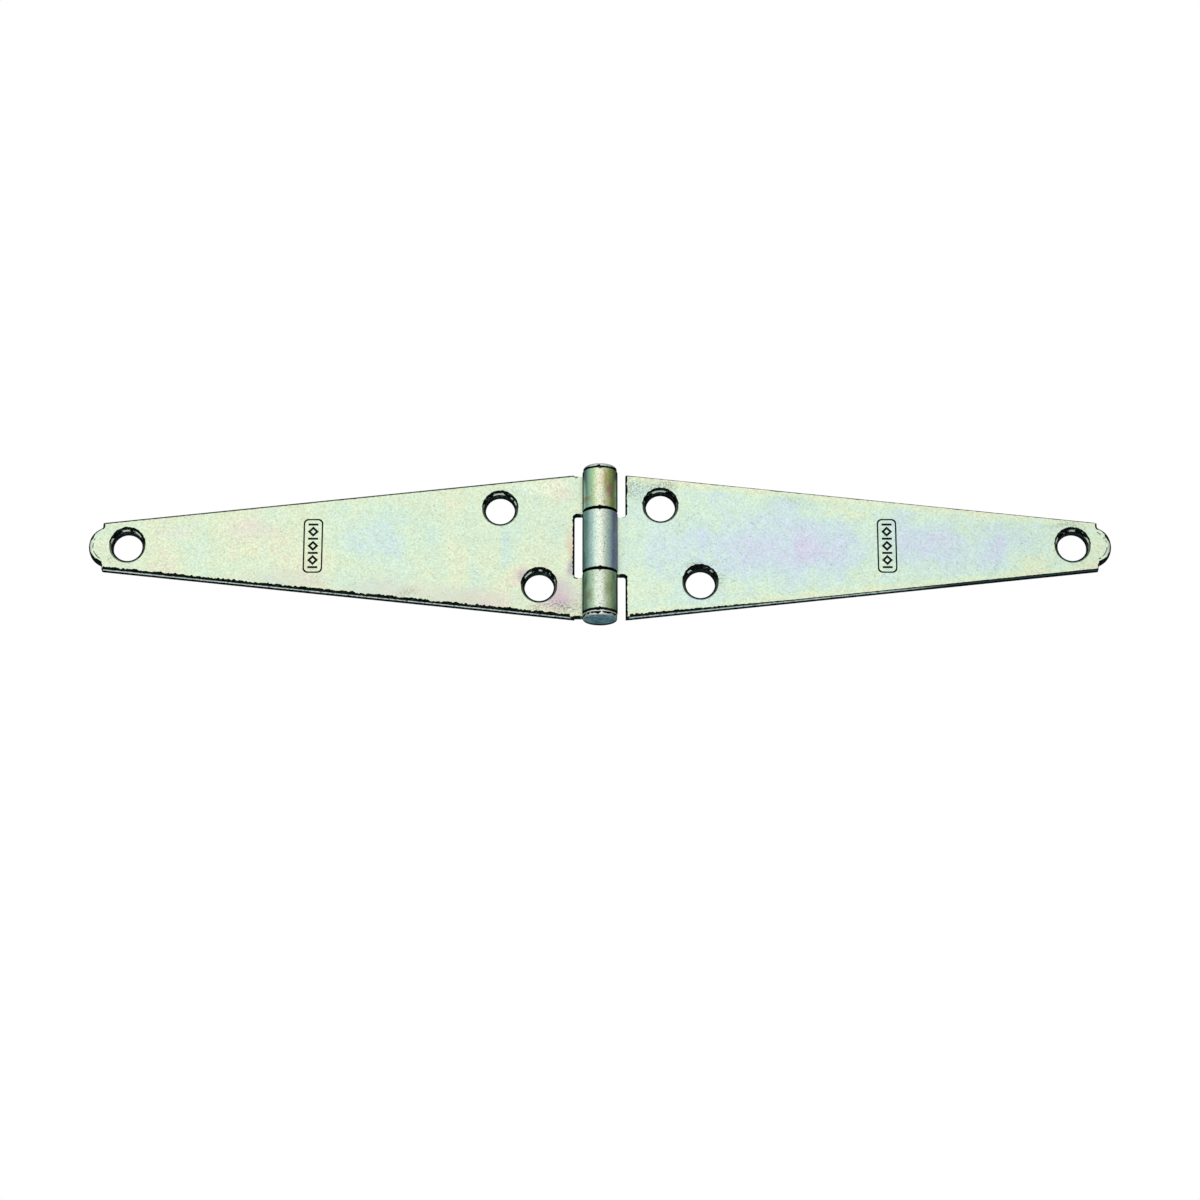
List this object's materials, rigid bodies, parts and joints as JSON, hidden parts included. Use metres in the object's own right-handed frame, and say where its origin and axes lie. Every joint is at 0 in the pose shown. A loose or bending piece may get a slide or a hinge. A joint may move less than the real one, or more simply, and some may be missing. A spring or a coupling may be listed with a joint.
{
  "type": "strap hinge",
  "caption": "Flat strap hinge: tapered sheet-metal leaves with countersunk screw holes, rolled round a riveted pin so that a door, gate or lid can swing.",
  "frame": {"origin": "on the mounting plane, under the middle of the pin, with the hinge open flat", "axes": "+X along the one-knuckle leaf towards its tip, +Y along the pin towards its hammered head, +Z out of the mounting surface towards the barrel and countersinks"},
  "size_m": [0.2032, 0.0326, 0.007],
  "materials": {
    "leaf_zinc": "zinc plate with a pale yellow-green iridescent passivation, faintly mottled with pink and blue",
    "pin_zinc": "blue-grey zinc plate over hammered wire"
  },
  "bodies": {
    "fixed_leaf": {"two_knuckle_leaf": "leaf_zinc", "hinge_pin": "pin_zinc"},
    "swinging_leaf": {"one_knuckle_leaf": "leaf_zinc"}
  },
  "joints": [
    {"name": "leaf_swing", "type": "hinge", "parent": "fixed_leaf", "child": "swinging_leaf", "pos_m": [0, 0, 0.0035], "axis": [0, -1, 0], "range_deg": [-110, 180]}
  ]
}
